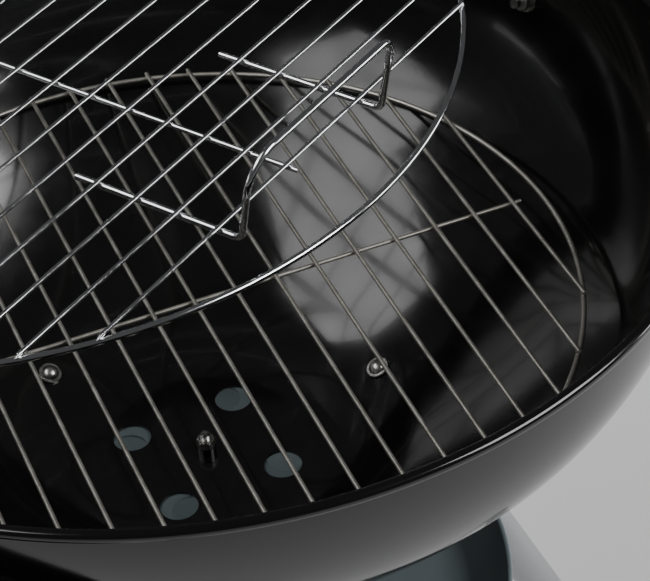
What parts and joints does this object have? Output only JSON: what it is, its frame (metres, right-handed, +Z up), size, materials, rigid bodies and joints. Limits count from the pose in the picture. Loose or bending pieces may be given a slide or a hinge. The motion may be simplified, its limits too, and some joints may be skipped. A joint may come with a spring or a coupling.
{
  "type": "kettle charcoal grill",
  "caption": "Round kettle charcoal grill on three splayed legs with two wheels, bowl, charcoal and cooking grates, ash pan, air damper and a domed lid hung on its side handle.",
  "frame": {"origin": "on the ground, under the middle of the whole object's bounding box", "axes": "+Z up; +X towards the handle over the plain leg, away from the wheels; +Y along the axle; the lid hangs on the -X side"},
  "size_m": [0.8382, 0.7381, 0.7563],
  "materials": {
    "black_enamel": "gloss",
    "grey_paint": "satin",
    "chrome_wire": "polished",
    "plain_steel_wire": "dull",
    "zinc_fasteners": "satin",
    "bent_rod": "satin",
    "black_plastic": "satin",
    "black_rubber": "matte"
  },
  "bodies": {
    "grill": {"bowl": "black_enamel", "right_handle": "bent_rod", "right_grip": "black_plastic", "left_handle": "bent_rod", "left_grip": "black_plastic", "handle_washers": "zinc_fasteners", "handle_nuts": "zinc_fasteners", "damper_bolt": "zinc_fasteners", "damper_washer": "zinc_fasteners", "damper_spacer": "black_enamel", "damper_nut": "zinc_fasteners", "plain_leg": "grey_paint", "wheel_leg_rear": "grey_paint", "wheel_leg_front": "grey_paint", "leg_seats": "grey_paint", "leg_plugs": "black_plastic", "leg_screws": "zinc_fasteners", "leg_screw_washers": "zinc_fasteners", "foot_cap": "black_plastic", "leg_end_plugs": "black_plastic", "axle": "zinc_fasteners", "axle_spacers": "black_plastic", "hub_caps": "zinc_fasteners", "ash_pan_clips": "grey_paint", "ash_pan_clip_screws": "zinc_fasteners"},
    "damper": {"bowl_damper": "grey_paint"},
    "cooking_grate": {"cooking_grate_ring": "chrome_wire", "cooking_grate_rods": "chrome_wire", "cooking_grate_cross_wire": "chrome_wire", "cooking_grate_handles": "chrome_wire"},
    "charcoal_grate": {"charcoal_grate_ring": "plain_steel_wire", "charcoal_grate_rods": "plain_steel_wire", "charcoal_grate_cross_wire": "plain_steel_wire"},
    "lid": {"lid": "black_enamel", "lid_hook": "zinc_fasteners", "lid_damper_rivet": "zinc_fasteners", "lid_handle": "bent_rod", "lid_grip": "black_plastic", "lid_handle_washers": "zinc_fasteners", "lid_handle_nuts": "zinc_fasteners"},
    "lid_damper": {"lid_damper": "grey_paint"},
    "wheel_rear": {"wheel_rear": "black_plastic", "tyre_rear": "black_rubber"},
    "wheel_front": {"wheel_front": "black_plastic", "tyre_front": "black_rubber"},
    "ash_pan": {"ash_pan": "grey_paint"}
  },
  "joints": [
    {"name": "damper_turn", "type": "hinge", "parent": "grill", "child": "damper", "pos_m": [0.0694, -0.0418, 0.4809], "axis": [0, 0, 1], "range_deg": [-9, 36]},
    {"name": "cooking_grate_lift", "type": "slide", "parent": "grill", "child": "cooking_grate", "axis": [0, 0, 1], "range_m": [0, 0.25]},
    {"name": "charcoal_grate_lift", "type": "slide", "parent": "grill", "child": "charcoal_grate", "axis": [0, 0, 1], "range_m": [0, 0.08]},
    {"name": "lid_lift", "type": "slide", "parent": "grill", "child": "lid", "axis": [-0.342, 0, 0.9397], "range_m": [0, 0.3]},
    {"name": "lid_damper_turn", "type": "hinge", "parent": "lid", "child": "lid_damper", "pos_m": [-0.36477, -0.0418, 0.34425], "axis": [-0.9397, 0, -0.342], "range_deg": [0, 45]},
    {"name": "wheel_rear_spin", "type": "hinge", "parent": "grill", "child": "wheel_rear", "pos_m": [-0.07913, 0.2602, 0.08], "axis": [0, 1, 0], "continuous": true},
    {"name": "wheel_front_spin", "type": "hinge", "parent": "grill", "child": "wheel_front", "pos_m": [-0.07913, -0.3438, 0.08], "axis": [0, 1, 0], "continuous": true},
    {"name": "ash_pan_lift", "type": "slide", "parent": "grill", "child": "ash_pan", "axis": [0, 0, 1], "range_m": [0, 0.015]}
  ]
}
